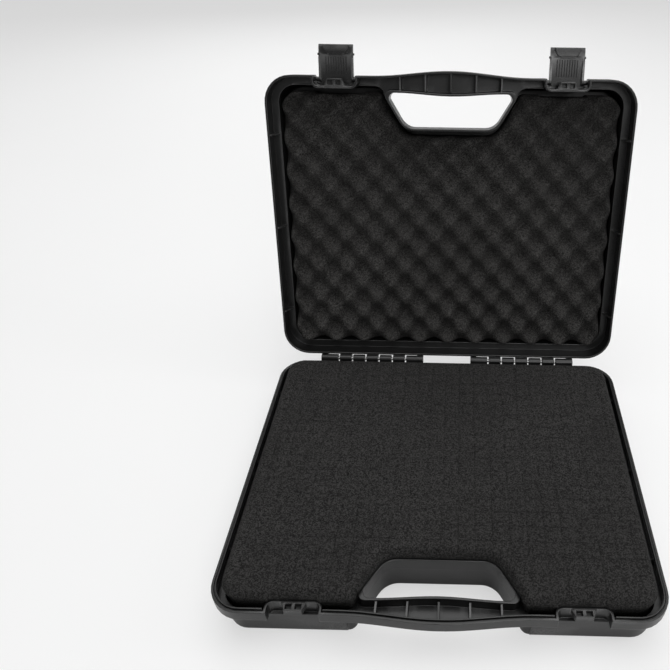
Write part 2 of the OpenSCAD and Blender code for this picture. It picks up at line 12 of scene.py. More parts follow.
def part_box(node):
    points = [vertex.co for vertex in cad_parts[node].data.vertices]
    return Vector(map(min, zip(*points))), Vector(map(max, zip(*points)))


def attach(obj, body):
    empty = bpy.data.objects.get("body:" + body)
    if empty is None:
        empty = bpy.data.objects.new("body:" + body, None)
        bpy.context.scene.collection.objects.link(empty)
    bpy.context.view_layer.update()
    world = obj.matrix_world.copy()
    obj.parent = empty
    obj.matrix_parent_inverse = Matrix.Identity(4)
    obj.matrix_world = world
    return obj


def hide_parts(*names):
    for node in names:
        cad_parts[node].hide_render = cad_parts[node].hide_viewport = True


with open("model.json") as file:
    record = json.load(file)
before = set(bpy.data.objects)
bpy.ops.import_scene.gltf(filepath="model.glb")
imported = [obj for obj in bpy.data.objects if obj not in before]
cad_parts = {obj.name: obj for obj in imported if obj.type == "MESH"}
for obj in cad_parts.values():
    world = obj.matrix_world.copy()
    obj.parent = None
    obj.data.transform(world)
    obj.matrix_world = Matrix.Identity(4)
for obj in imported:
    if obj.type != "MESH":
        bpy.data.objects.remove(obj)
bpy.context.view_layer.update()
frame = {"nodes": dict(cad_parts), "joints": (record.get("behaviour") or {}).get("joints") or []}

# ---- sizes, in metres ---------------------------------------------------------------------------

MM = 0.001
HINGE = next(j for j in frame["joints"] if j["name"] == "lid_hinge")
AXIS = Vector(HINGE["pos_m"])                     # a point on the hinge axis
OPEN_ANGLE = math.radians(HINGE["range_deg"][1])  # how far the lid is laid back
RIM_Z = AXIS.z                                    # height of the base's rim
LID_RIM = 0.3 * MM                                # shut lid's rim above the base's rim
DICE_PITCH = 13.5 * MM                            # between the cut lines of the base's pad
CUT_WIDTH = 0.4 * MM                              # half-width of a cut line's mouth
CUT_DEPTH = 0.4 * MM
WAVE_ACROSS = 14.8 * MM                           # crest to hollow of the lid's foam
WAVE_ALONG = 16 * MM
WAVE_HEIGHT = 14 * MM
CREST_BACK = 15 * MM                              # crests behind the lid's rim
FOAM_STEP = 2.2 * MM                              # mesh spacing on the foams
FOAM_SLIP = 4.5 * MM                              # the lid's foam has slid towards the hinge
FOAM_LEAN = 7 * MM                                # and leans out of the lid there
FOAM_EDGE = 4.5 * MM                              # rounding of the foams' cut edges
LID_HEIGHT = 48 * MM                              # from the lid's rim to its outer panel
LID_PANEL = 2.6 * MM                              # its wall there, with a little room
LATCH_X = 105.5 * MM                              # either side of the middle
RECESS_HALF = 22.5 * MM                           # a latch's recess and its wall, with room
RECESS_BACK = -125.2 * MM
PIVOT_Y = -133.8 * MM                             # a latch's pivot on the shut lid
PIVOT_UP = 14.5 * MM
LATCH_FACE = -4.0 * MM                            # a latch's outer and inner face
LATCH_INSIDE = -1.5 * MM
SHELL_RADIUS = 0.5 * MM                           # moulded edge radii
LATCH_RADIUS = 0.3 * MM
LABEL_RADIUS = 0.15 * MM
ROUNDED_FROM = math.radians(40)                   # edges that turn more than this are rounded
CREASED_FROM = math.radians(50)                   # and these stay a crease in the shading
WELD = 0.004 * MM                                 # corners closer than this are one
LABEL_HALF = 27 * MM                              # half the label's height on the lid
LABEL_INSET = 4 * MM                              # its pale border, in from the edge

# From the shut lid's frame, whose z starts at the base's rim, to where the lid rests.
LID_PLACE = (Matrix.Translation(AXIS) @ Matrix.Rotation(-OPEN_ANGLE, 4, "X")
             @ Matrix.Translation((0, -AXIS.y, 0)))
# From a half shell's own frame, rim at z = 0 and its open side up, to the base and to the lid.
BASE_HALF = Matrix.Translation((0, 0, RIM_Z))
LID_HALF = LID_PLACE @ Matrix.Translation((0, 0, LID_RIM)) @ Matrix.Diagonal((1, 1, -1, 1))

# ---- node maths ---------------------------------------------------------------------------------


class Value:
    """A node's output that Python's operators work on by adding Math nodes."""

    def __init__(self, tree, socket):
        self.tree = tree
        self.socket = socket

    def math(self, operation, *others):
        return made(self.tree, "ShaderNodeMath", {"operation": operation},
                    dict(enumerate((self, *others))))

    def __add__(self, other):
        return self.math("ADD", other)

    def __radd__(self, other):
        return self.math("ADD", other)

    def __sub__(self, other):
        return self.math("SUBTRACT", other)

    def __rsub__(self, other):
        return made(self.tree, "ShaderNodeMath", {"operation": "SUBTRACT"}, {0: other, 1: self})

    def __mul__(self, other):
        return self.math("MULTIPLY", other)

    def __rmul__(self, other):
        return self.math("MULTIPLY", other)

    def __truediv__(self, other):
        return self.math("DIVIDE", other)

    def __rtruediv__(self, other):
        return made(self.tree, "ShaderNodeMath", {"operation": "DIVIDE"}, {0: other, 1: self})

    def __abs__(self):
        return self.math("ABSOLUTE")

    def smaller(self, other):
        return self.math("MINIMUM", other)

    def larger(self, other):
        return self.math("MAXIMUM", other)


def made(tree, kind, settings=None, inputs=None, output=0):
    """Adds one node: its settings first, then its inputs as values or links. Gives one output."""
    node = tree.nodes.new(kind)
    for name, setting in (settings or {}).items():
        setattr(node, name, setting)
    for key, item in (inputs or {}).items():
        slot = find(node.inputs, key)
        if isinstance(item, Value):
            tree.links.new(item.socket, slot)
        else:
            slot.default_value = item
    return Value(tree, find(node.outputs, output))


def find(sockets, key):
    if isinstance(key, int):
        return sockets[key]
    for socket in sockets:
        if socket.identifier == key:
            return socket
    return sockets[key]


def ramp(value, low, high, to_low=0.0, to_high=1.0):
    """Smoothly maps low..high to to_low..to_high."""
    return made(value.tree, "ShaderNodeMapRange", {"interpolation_type": "SMOOTHSTEP"},
                {"Value": value, "From Min": low, "From Max": high,
                 "To Min": to_low, "To Max": to_high}, "Result")


def blended(factor, first, second):
    """Mixes two colours."""
    return made(factor.tree, "ShaderNodeMix", {"data_type": "RGBA"},
                {"Factor_Float": factor, "A_Color": first, "B_Color": second}, "Result_Color")


def grey(level, warm=0.0):
    return (level * (1 + warm), level, level * (1 - warm), 1.0)


class Finish:
    """A material in the making: its tree, its object coordinates and its shader."""

    def __init__(self, name):
        self.material = bpy.data.materials.new(name)
        self.material.use_nodes = True
        self.tree = self.material.node_tree
        self.shader = self.tree.nodes["Principled BSDF"]
        self.place = made(self.tree, "ShaderNodeTexCoord", output="Object")

    def noise(self, scale, detail=2.0, roughness=0.5, place=None):
        return made(self.tree, "ShaderNodeTexNoise", None,
                    {"Vector": place or self.place, "Scale": scale, "Detail": detail,
                     "Roughness": roughness}, "Fac")

    def cells(self, scale):
        """Distance to the middle of the nearest of many small cells."""
        return made(self.tree, "ShaderNodeTexVoronoi", None,
                    {"Vector": self.place, "Scale": scale}, "Distance")

    def grains(self, scale):
        """A different value in each small cell."""
        colour = made(self.tree, "ShaderNodeTexVoronoi", None,
                      {"Vector": self.place, "Scale": scale}, "Color")
        return self.split(colour)[0]

    def attribute(self, name):
        return made(self.tree, "ShaderNodeAttribute", {"attribute_name": name}, output="Fac")

    def turned(self, angle, centre=(0, 0, 0), scale=(1, 1, 1)):
        """Object coordinates turned about X and centred."""
        return made(self.tree, "ShaderNodeMapping", {"vector_type": "TEXTURE"},
                    {"Vector": self.place, "Location": centre, "Rotation": (angle, 0, 0),
                     "Scale": scale}, "Vector")

    def split(self, vector):
        return [made(self.tree, "ShaderNodeSeparateXYZ", None, {"Vector": vector}, axis)
                for axis in "XYZ"]

    def surface(self, colour, roughness, height, depth, strength=1.0, **fixed):
        """Links what varies, and sets what doesn't on the shader's own sockets."""
        bump = made(self.tree, "ShaderNodeBump", None,
                    {"Height": height, "Distance": depth, "Strength": strength}, "Normal")
        self.tree.links.new(colour.socket, self.shader.inputs["Base Color"])
        self.tree.links.new(roughness.socket, self.shader.inputs["Roughness"])
        self.tree.links.new(bump.socket, self.shader.inputs["Normal"])
        for name, setting in fixed.items():
            self.shader.inputs[name.replace("_", " ")].default_value = setting
        return self.material


# ---- materials ----------------------------------------------------------------------------------


def moulded_plastic(name, level, gloss):
    """Near-black moulded plastic: fine spark-eroded grain, flow clouds, rubbed patches, dust, and
    painted highlights along its exposed edges.
    """
    f = Finish(name)
    grain = f.noise(2600, 3, 0.6)
    pebble = f.cells(1500)
    clouds = f.noise(9, 4)
    # Painted highlight: a mask of the exposed edges, broken up by noise, standing in for light
    # caught on the edge radii.
    edge = ramp(f.attribute("edge_highlight"), 0.55, 1.0) * ramp(f.noise(60, 4, 0.7), 0.3, 0.62, 0.35, 1.0)
    rubs = ramp(f.noise(46, 6, 0.7), 0.56, 0.74)
    dust = ramp(f.cells(260), 0.05, 0.02) * ramp(f.noise(30, 2), 0.5, 0.62)
    tint = blended(ramp(clouds, 0.3, 0.7), grey(level * 0.8), grey(level * 1.25))
    tint = blended(rubs * 0.2, tint, grey(level * 2.4))
    # The painted highlight lightens the exposed edges.
    tint = blended(edge * 0.8, tint, grey(level * 14))
    tint = blended(dust * 0.3, tint, grey(0.25, 0.02))
    rough = ramp(grain, 0.2, 0.8, gloss - 0.04, gloss + 0.06) + rubs * 0.1 + (clouds - 0.5) * 0.1
    rough = rough - edge * 0.08
    return f.surface(tint, rough, grain * 0.6 + pebble * 0.8, 0.04 * MM, 0.4)


def drawn_wire(name):
    """Bright drawn steel wire with fine lengthwise lines."""
    f = Finish(name)
    lines = f.noise(900, 3, 0.6, f.turned(0, scale=(60, 1, 1)))
    clouds = f.noise(60, 3)
    tint = blended(clouds, grey(0.36), grey(0.5, 0.01))
    f.shader.inputs["Metallic"].default_value = 1.0
    return f.surface(tint, ramp(lines, 0.3, 0.7, 0.28, 0.46), lines, 0.02 * MM, 0.4)


def open_cell_foam(name, level, warm, scored=False):
    """Charcoal foam: pores at two sizes, light cell walls, lint, and cut lines where it is diced,
    darkened with painted shade.
    """
    f = Finish(name)
    pores = f.cells(900)
    fine = f.noise(1150, 3, 0.8)
    coarse = f.noise(230, 3, 0.6)
    patches = f.noise(12, 3)
    walls = ramp(f.grains(1250), 0.2, 0.95)
    speck = walls * 0.65 + ramp(fine, 0.42, 0.62) * 0.25 + ramp(pores, 0.25, 0.6) * 0.1
    tint = blended(speck, grey(level * 0.15, warm), grey(level * 2.4, warm))
    tint = blended(ramp(coarse, 0.4, 0.75) * 0.3, tint, grey(level * 1.5, warm))
    tint = blended(ramp(patches, 0.35, 0.7) * 0.25, tint, grey(level * 0.6, warm))
    lint = ramp(f.cells(190), 0.06, 0.02) * ramp(f.noise(70, 2), 0.54, 0.68)
    tint = blended(lint * 0.4, tint, grey(0.16, warm))
    height = fine + pores * 0.8 + coarse
    if scored:
        x, y, _ = f.split(f.place)
        wander = (f.noise(35, 2) - 0.5) * (0.9 * MM)
        line = near_line(x + wander).smaller(near_line(y + wander))
        cut_shade = ramp(line, CUT_WIDTH * 1.5, 0.0) * ramp(f.noise(18, 3), 0.4, 0.62, 0.05, 0.5)
        # Painted shade darkens the cut lines; the same mask also lowers the bump there.
        tint = blended(cut_shade * 0.6, tint, grey(level * 0.25, warm))
        height = height - cut_shade
    return f.surface(tint, ramp(fine, 0.3, 0.7, 0.88, 1.0), height, 0.4 * MM, 0.7,
                     Specular_IOR_Level=0.1)


def near_line(along, pitch=DICE_PITCH):
    """Distance to the nearest cut line, which lie a pitch apart either side of the middle."""
    return along.math("PINGPONG", pitch / 2)


def label_film(name):
    """Blue film with a pale inset border and a plain pale field to write on."""
    f = Finish(name)
    low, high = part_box("label_plate")
    centre = [(a + b) / 2 for a, b in zip(low, high)]
    x, y, _ = f.split(f.turned(-OPEN_ANGLE, centre))
    half_x = (high[0] - low[0]) / 2
    inset = (half_x - abs(x)).smaller(LABEL_HALF - abs(y))
    border = ramp(abs(inset - LABEL_INSET), 0.7 * MM, 0.5 * MM)
    field = ramp((22 * MM - abs(x)).smaller(6 * MM - abs(y + 8 * MM)), -0.2 * MM, 0.2 * MM)
    clouds = f.noise(60, 3)
    tint = blended(ramp(clouds, 0.3, 0.7), (0.008, 0.12, 0.5, 1), (0.015, 0.17, 0.62, 1))
    tint = blended(border.larger(field) * 0.95, tint, (0.72, 0.76, 0.8, 1))
    scuffs = f.noise(320, 4, 0.7)
    return f.surface(tint, ramp(scuffs, 0.3, 0.75, 0.3, 0.46), scuffs, 0.02 * MM, 0.3)


# ---- meshes -------------------------------------------------------------------------------------


def mesh_object(name, verts, faces):
    mesh = bpy.data.meshes.new(name)
    mesh.from_pydata([tuple(v) for v in verts], [], [tuple(int(i) for i in f) for f in faces])
    mesh.update()
    obj = bpy.data.objects.new(name, mesh)
    bpy.context.scene.collection.objects.link(obj)
    return obj


def welded_copy(name, node):
    """A CAD node's shape as one closed skin, with flat areas dissolved to clean faces."""
    bm = bmesh.new()
    bm.from_mesh(frame["nodes"][node].data)
    bmesh.ops.remove_doubles(bm, verts=bm.verts, dist=WELD)
    bmesh.ops.dissolve_limit(bm, angle_limit=math.radians(0.4), verts=bm.verts, edges=bm.edges)
    mesh = bpy.data.meshes.new(name)
    bm.to_mesh(mesh)
    bm.free()
    obj = bpy.data.objects.new(name, mesh)
    bpy.context.scene.collection.objects.link(obj)
    return obj


def shaded(obj):
    """Smooth faces with creases kept, flat areas kept flat, and how exposed each point's edges are
    noted for the finish's painted edge highlights."""
    bm = bmesh.new()
    bm.from_mesh(obj.data)
    bmesh.ops.triangulate(bm, faces=bm.faces, ngon_method="BEAUTY")
    # Per-point edge exposure, which the finish paints as a highlight.
    edge_highlight = bm.verts.layers.float.new("edge_highlight")
    for face in bm.faces:
        face.smooth = True
    for edge in bm.edges:
        edge.smooth = len(edge.link_faces) == 2 and edge.calc_face_angle(0) < CREASED_FROM
        exposed = edge.calc_face_angle_signed(0) / ROUNDED_FROM
        for vert in edge.verts:
            vert[edge_highlight] = max(vert[edge_highlight], min(exposed, 1.0))
    bm.to_mesh(obj.data)
    bm.free()
    weighted = obj.modifiers.new("even normals", "WEIGHTED_NORMAL")
    weighted.weight = 80
    weighted.keep_sharp = True
    applied(obj)


def applied(obj):
    """Turns an object and its modifiers into a plain mesh."""
    graph = bpy.context.evaluated_depsgraph_get()
    mesh = bpy.data.meshes.new_from_object(obj.evaluated_get(graph))
    obj.modifiers.clear()
    obj.data = mesh
    return obj


def weigh_edges(obj, radius):
    """Gives each sharp edge a share of the radius, less where the faces beside it are narrow."""
    bm = bmesh.new()
    bm.from_mesh(obj.data)
    bmesh.ops.triangulate(bm, faces=bm.faces, ngon_method="BEAUTY")
    weight = bm.edges.layers.float.new("bevel_weight_edge")
    for edge in bm.edges:
        if len(edge.link_faces) == 2 and edge.calc_face_angle(0) > ROUNDED_FROM:
            beside = [other.calc_length() for vert in edge.verts for other in vert.link_edges
                      if other is not edge and turn_between(edge, other) > math.radians(25)]
            room = min(beside, default=radius)
            edge[weight] = min(1.0, 0.3 * room / radius)
    bm.to_mesh(obj.data)
    bm.free()


def turn_between(edge, other):
    """Angle between two edges' lines, from 0 to a right angle."""
    a, b = (e.verts[1].co - e.verts[0].co for e in (edge, other))
    turn = a.angle(b, 0.0)
    return min(turn, math.pi - turn)


def rounded(obj, radius):
    """Rounds an object's sharp edges, with every radius kept within the moulding."""
    sharp = BVHTree.FromPolygons([v.co.copy() for v in obj.data.vertices],
                                 [p.vertices[:] for p in obj.data.polygons])
    weigh_edges(obj, radius)
    bevel = obj.modifiers.new("edge radii", "BEVEL")
    bevel.width = radius
    bevel.segments = 2
    bevel.limit_method = "WEIGHT"
    bevel.use_clamp_overlap = False
    applied(obj)
    for vert in obj.data.vertices:
        nearest, _, _, away = sharp.find_nearest(vert.co)
        if away > 0.4 * radius:
            vert.co = nearest


def finished_shell(name, node, body, material, radius=SHELL_RADIUS):
    """The moulding that stands for a CAD shell: same form, with moulded edge radii."""
    obj = welded_copy(name, node)
    rounded(obj, radius)
    shaded(obj)
    obj.data.materials.clear()
    obj.data.materials.append(material)
    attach(obj, body)
    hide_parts(node)
    return obj


# ---- foams --------------------------------------------------------------------------------------


def outline_at(node, height, place=None):
    """A node's outline where a level plane cuts it, in the given place's own frame."""
    bm = bmesh.new()
    bm.from_mesh(frame["nodes"][node].data)
    if place:
        bm.transform(place.inverted())
    bmesh.ops.remove_doubles(bm, verts=bm.verts, dist=WELD)
    cut = bmesh.ops.bisect_plane(bm, geom=bm.verts[:] + bm.edges[:] + bm.faces[:],
                                 plane_co=(0, 0, height), plane_no=(0, 0, 1),
                                 clear_outer=True, clear_inner=True)["geom_cut"]
    following = {}
    for edge in (e for e in cut if isinstance(e, bmesh.types.BMEdge)):
        a, b = edge.verts
        following.setdefault(a, []).append(b)
        following.setdefault(b, []).append(a)
    start = min(following, key=lambda v: (v.co.x, v.co.y))
    loop = [start]
    before, here = None, start
    while True:
        after = next(v for v in following[here] if v is not before)
        if after is start:
            break
        loop.append(after)
        before, here = here, after
    points = np.array([v.co.xy[:] for v in loop])
    bm.free()
    ahead = np.roll(points, -1, 0)
    if (points[:, 0] * ahead[:, 1] - ahead[:, 0] * points[:, 1]).sum() < 0:
        points = points[::-1]
    return points[np.linalg.norm(points - np.roll(points, 1, 0), axis=1) > 0.02 * MM]


def resampled(outline, step):
    """The outline with long edges divided."""
    out = []
    for a, b in zip(outline, np.roll(outline, -1, 0)):
        pieces = max(1, int(np.linalg.norm(b - a) / step))
        out += [a + (b - a) * i / pieces for i in range(pieces)]
    return np.array(out)


def edge_distance(points, outline):
    """Distance of points from the outline, negative outside it."""
    best = np.full(len(points), 1e9)
    inside = np.zeros(len(points), bool)
    for a, b in zip(outline, np.roll(outline, -1, 0)):
        ab = b - a
        t = np.clip(((points - a) @ ab) / (ab @ ab), 0, 1)
        best = np.minimum(best, np.linalg.norm(points - a - t[:, None] * ab, axis=1))
        if a[1] != b[1]:
            crosses = (a[1] > points[:, 1]) != (b[1] > points[:, 1])
            at_x = a[0] + (points[:, 1] - a[1]) / (b[1] - a[1]) * ab[0]
            inside ^= crosses & (points[:, 0] < at_x)
    return np.where(inside, best, -best)


def sheet_mesh(outline, columns, rows):
    """Triangles over an outline through given columns and rows, with close rings at its edge."""
    rim = resampled(outline, FOAM_STEP)
    ahead = np.roll(rim, -1, 0) - np.roll(rim, 1, 0)
    inward = np.stack([-ahead[:, 1], ahead[:, 0]], 1) / np.linalg.norm(ahead, axis=1)[:, None]
    points = [rim]
    for share in (0.2, 0.5, 0.9):
        ring = rim + inward * FOAM_EDGE * share
        points.append(ring[edge_distance(ring, rim) > FOAM_EDGE * share * 0.93])
    x, y = np.meshgrid(columns, rows)
    grid = np.stack([x.ravel(), y.ravel()], 1)
    points.append(grid[edge_distance(grid, rim) > FOAM_EDGE * 1.15])
    points = np.concatenate(points)
    count = len(rim)
    edges = [(i, (i + 1) % count) for i in range(count)]
    verts, _, faces, origins, _, _ = delaunay_2d_cdt(
        [Vector(p) for p in points], edges, [], 1, 1e-7)
    order = [o[0] for o in origins]
    flat = np.array([v[:] for v in verts])
    return flat, faces, [order.index(i) for i in range(count)]


def rounded_drop(distance):
    """How far a foam's top falls away near its cut edge."""
    near = np.clip(1 - distance / FOAM_EDGE, 0, 1)
    return FOAM_EDGE * 0.7 * (1 - np.sqrt(1 - near ** 2))


def filled(ring):
    """Triangles over a closed ring of points, as indices into it."""
    edges = [(i, (i + 1) % len(ring)) for i in range(len(ring))]
    points = [Vector(point) for point in ring]
    _, _, faces, origins, _, _ = delaunay_2d_cdt(points, edges, [], 1, 1e-7)
    return [[origins[i][0] for i in face] for face in faces]


def foam_block(name, outline, columns, rows, top, bottom, swell):
    """A closed foam block in its half shell's frame. An attribute marks how far each point belongs
    to the top."""
    flat, faces, rim = sheet_mesh(outline, columns, rows)
    drop = rounded_drop(np.maximum(edge_distance(flat, resampled(outline, FOAM_STEP)), 0))
    verts = [(x, y, top - fall) for (x, y), fall in zip(flat, drop)]
    lift = [1.0] * len(verts)
    faces = [tuple(f) for f in faces]
    edge = flat[rim]
    ahead = np.roll(edge, -1, 0) - np.roll(edge, 1, 0)
    inward = np.stack([-ahead[:, 1], ahead[:, 0]], 1) / np.linalg.norm(ahead, axis=1)[:, None]
    count = len(rim)
    above = list(rim)
    start_z = top - drop[rim]
    for share, out in swell:
        start = len(verts)
        for (x, y), z in zip(edge - inward * out, start_z + (bottom - start_z) * share):
            verts.append((x, y, z))
            lift.append(max(0.0, 1 - share * 2.5))
        for i in range(count):
            j = (i + 1) % count
            faces.append((above[i], start + i, start + j, above[j]))
        above = [start + i for i in range(count)]
    faces += [tuple(above[i] for i in reversed(face)) for face in filled(edge)]
    block = mesh_object(name, verts, faces)
    attribute = block.data.attributes.new("top", "FLOAT", "POINT")
    attribute.data.foreach_set("value", lift)
    return block


def foam_top_tree():
    """Geometry Nodes that shape a foam's top: waves, cut lines, uneven blocks and lumps."""
    tree = bpy.data.node_groups.new("foam top", "GeometryNodeTree")
    tree.interface.new_socket("Foam", in_out="OUTPUT", socket_type="NodeSocketGeometry")
    tree.interface.new_socket("Foam", in_out="INPUT", socket_type="NodeSocketGeometry")
    for name in ("Wave Height", "Wave Across", "Wave Along", "Cut Pitch", "Cut Depth", "Cut Width",
                 "Block Step", "Lump Height", "Lump Size", "Lean", "Lean Length"):
        tree.interface.new_socket(name, in_out="INPUT", socket_type="NodeSocketFloat")
    tree.interface.new_socket("Finish", in_out="INPUT", socket_type="NodeSocketMaterial")
    inputs = tree.nodes.new("NodeGroupInput")
    given = {socket.name: Value(tree, socket) for socket in inputs.outputs if socket.name}
    place = made(tree, "GeometryNodeInputPosition")
    x, y = (made(tree, "ShaderNodeSeparateXYZ", None, {"Vector": place}, axis) for axis in "XY")
    ridge = (x / given["Wave Across"] * math.pi).math("COSINE")
    ridge = ridge * (y / given["Wave Along"] * math.pi).math("COSINE")
    wave = (1 - ridge) * given["Wave Height"] * 0.5
    half = given["Cut Pitch"] * 0.5
    lumps = made(tree, "ShaderNodeTexNoise", None,
                 {"Vector": place, "Scale": 1 / given["Lump Size"], "Detail": 2.0}, "Fac") - 0.5
    line = (x + lumps * 0.0006).math("PINGPONG", half).smaller(
        (y + lumps * 0.0006).math("PINGPONG", half))
    cut = made(tree, "ShaderNodeMapRange", {"interpolation_type": "SMOOTHSTEP"},
               {"Value": line, "From Min": given["Cut Width"], "From Max": 0.0,
                "To Min": 0.0, "To Max": given["Cut Depth"]}, "Result")
    block = made(tree, "ShaderNodeCombineXYZ", None,
                 {"X": (x / given["Cut Pitch"]).math("FLOOR"),
                  "Y": (y / given["Cut Pitch"]).math("FLOOR"), "Z": 7.0})
    uneven = made(tree, "ShaderNodeTexWhiteNoise", None, {"Vector": block}, "Value") - 0.5
    top = made(tree, "GeometryNodeInputNamedAttribute", {"data_type": "FLOAT"}, {"Name": "top"},
               "Attribute")
    share = (y / given["Lean Length"] + 0.5).larger(0)
    rise = uneven * given["Block Step"] + lumps * given["Lump Height"] - wave - cut
    rise = rise + share * share * given["Lean"]
    offset = made(tree, "ShaderNodeCombineXYZ", None, {"Z": rise * top})
    moved = made(tree, "GeometryNodeSetPosition", None, {"Geometry": given["Foam"],
                                                        "Offset": offset})
    return closed_tree(tree, moved, given["Finish"])


def closed_tree(tree, geometry, finish):
    """Ends a tree in real geometry that carries its finish."""
    real = made(tree, "GeometryNodeRealizeInstances", None, {"Geometry": geometry})
    done = made(tree, "GeometryNodeSetMaterial", None, {"Geometry": real, "Material": finish})
    output = tree.nodes.new("NodeGroupOutput")
    tree.links.new(done.socket, output.inputs[0])
    return tree


def run_tree(obj, tree, **settings):
    """Runs a tree on an object with its named inputs set, and keeps the plain mesh."""
    modifier = obj.modifiers.new(tree.name, "NODES")
    modifier.node_group = tree
    for socket in tree.interface.items_tree:
        key = socket.name.replace(" ", "_").lower()
        if socket.in_out == "INPUT" and key in settings:
            modifier[socket.identifier] = settings[key]
    return applied(obj)


def settled_foam(obj, place, body, slot, *nodes):
    obj.data.transform(place)
    if place.determinant() < 0:
        obj.data.flip_normals()
    for polygon in obj.data.polygons:
        polygon.use_smooth = True
    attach(obj, body)
    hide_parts(*nodes)
    return obj


def even_lines(low, high, step):
    count = max(2, int((high - low) / step))
    return np.linspace(low, high, count)


def diced_lines(low, high):
    """Mesh lines that follow the cuts: three on each, and a few across each block."""
    across = (0.0, CUT_WIDTH, 0.28 * DICE_PITCH, 0.5 * DICE_PITCH, 0.72 * DICE_PITCH,
              DICE_PITCH - CUT_WIDTH)
    first = math.floor(low / DICE_PITCH)
    last = math.ceil(high / DICE_PITCH)
    return np.array([i * DICE_PITCH + step for i in range(first, last) for step in across])


def spans(outline):
    (low_x, low_y), (high_x, high_y) = outline.min(0), outline.max(0)
    return low_x, high_x, low_y, high_y


def clear_of_latches(outline):
    """Steps a foam's outline back behind the latches' recesses."""
    points = resampled(outline, FOAM_STEP)
    beside = abs(abs(points[:, 0]) - LATCH_X) < RECESS_HALF
    points[:, 1] = np.where(beside & (points[:, 1] < RECESS_BACK), RECESS_BACK, points[:, 1])
    return points


def base_foam(tree, finish):
    low, high = (corner.z - RIM_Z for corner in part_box("base_foam_diced"))
    outline = outline_at("base_foam_diced", 5 * MM, BASE_HALF)
    x0, x1, y0, y1 = spans(outline)
    swell = ((0.05, 1.2 * MM), (0.12, 1.9 * MM), (0.2, 1.7 * MM), (0.27, 0.7 * MM),
             (0.35, 0.2 * MM), (1.0, 0.0))
    block = foam_block("base_foam", outline, diced_lines(x0, x1), diced_lines(y0, y1),
                       high, low, swell)
    run_tree(block, tree, wave_height=0.0, wave_across=1.0, wave_along=1.0,
             cut_pitch=DICE_PITCH, cut_depth=CUT_DEPTH, cut_width=CUT_WIDTH, block_step=0.35 * MM,
             lump_height=0.9 * MM, lump_size=28 * MM, lean=0.0, lean_length=1.0, finish=finish)
    return settled_foam(block, BASE_HALF, "base", "base_foam", "base_foam_diced")


def base_pad(tree, finish):
    low, high = (corner.z - RIM_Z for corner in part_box("base_foam_pad"))
    outline = outline_at("base_foam_pad", (low + high) / 2, BASE_HALF)
    x0, x1, y0, y1 = spans(outline)
    block = foam_block("base_foam_bottom_pad", outline, even_lines(x0, x1, 9 * MM),
                       even_lines(y0, y1, 9 * MM), high, low, ((0.5, 0.1 * MM), (1.0, -1.0 * MM)))
    run_tree(block, tree, wave_height=0.0, wave_across=1.0, wave_along=1.0, cut_pitch=1.0,
             cut_depth=0.0, cut_width=0.001, block_step=0.0, lump_height=0.0, lump_size=30 * MM,
             lean=0.0, lean_length=1.0, finish=finish)
    return settled_foam(block, BASE_HALF, "base", "base_foam", "base_foam_pad")


def lid_foam(tree, finish):
    bottom = LID_PANEL - LID_HEIGHT
    outline = outline_at("lid_foam", -CREST_BACK - WAVE_HEIGHT - 1 * MM, LID_HALF)
    outline = clear_of_latches(outline)
    outline[:, 1] = np.minimum(outline[:, 1] + FOAM_SLIP, outline[:, 1].max())
    x0, x1, y0, y1 = spans(outline)
    swell = ((0.15, 0.3 * MM), (0.5, 0.3 * MM), (1.0, 0.0))
    block = foam_block("lid_foam_waves", outline, even_lines(x0, x1, FOAM_STEP),
                       even_lines(y0, y1, FOAM_STEP), -CREST_BACK, bottom, swell)
    run_tree(block, tree, wave_height=WAVE_HEIGHT, wave_across=WAVE_ACROSS,
             wave_along=WAVE_ALONG, cut_pitch=1.0, cut_depth=0.0, cut_width=0.001,
             block_step=0.0, lump_height=3.0 * MM, lump_size=20 * MM, lean=FOAM_LEAN,
             lean_length=y1 - y0, finish=finish)
    return settled_foam(block, LID_HALF, "lid", "lid_foam", "lid_foam")


# ---- latches ------------------------------------------------------------------------------------


def rib_tree():
    """Geometry Nodes that set fine ribs side by side down a latch's face."""
    tree = bpy.data.node_groups.new("latch ribs", "GeometryNodeTree")
    tree.interface.new_socket("Ribs", in_out="OUTPUT", socket_type="NodeSocketGeometry")
    tree.interface.new_socket("Start", in_out="INPUT", socket_type="NodeSocketGeometry")
    tree.interface.new_socket("Count", in_out="INPUT", socket_type="NodeSocketInt")
    for name in ("Pitch", "Rib Length", "Rib Width", "Rib Height"):
        tree.interface.new_socket(name, in_out="INPUT", socket_type="NodeSocketFloat")
    tree.interface.new_socket("Finish", in_out="INPUT", socket_type="NodeSocketMaterial")
    inputs = tree.nodes.new("NodeGroupInput")
    given = {socket.name: Value(tree, socket) for socket in inputs.outputs if socket.name}
    step = made(tree, "ShaderNodeCombineXYZ", None, {"X": given["Pitch"]})
    first = made(tree, "ShaderNodeCombineXYZ", None,
                 {"X": (given["Count"] - 1) * given["Pitch"] * -0.5})
    row = made(tree, "GeometryNodeMeshLine", None,
               {"Count": given["Count"], "Start Location": first, "Offset": step})
    rib = made(tree, "GeometryNodeCurvePrimitiveLine", None,
               {"Start": (0, 0, 0), "End": made(tree, "ShaderNodeCombineXYZ", None,
                                               {"Z": given["Rib Length"]})})
    radius = made(tree, "ShaderNodeCombineXYZ", None,
                  {"X": given["Rib Width"], "Y": given["Rib Height"], "Z": 1.0})
    profile = made(tree, "GeometryNodeCurvePrimitiveCircle", None,
                   {"Resolution": 8, "Radius": 1.0}, "Curve")
    profile = made(tree, "GeometryNodeTransform", None, {"Geometry": profile, "Scale": radius})
    bar = made(tree, "GeometryNodeCurveToMesh", None,
               {"Curve": rib, "Profile Curve": profile, "Fill Caps": True})
    ribs = made(tree, "GeometryNodeInstanceOnPoints", None, {"Points": row, "Instance": bar})
    return closed_tree(tree, ribs, given["Finish"])


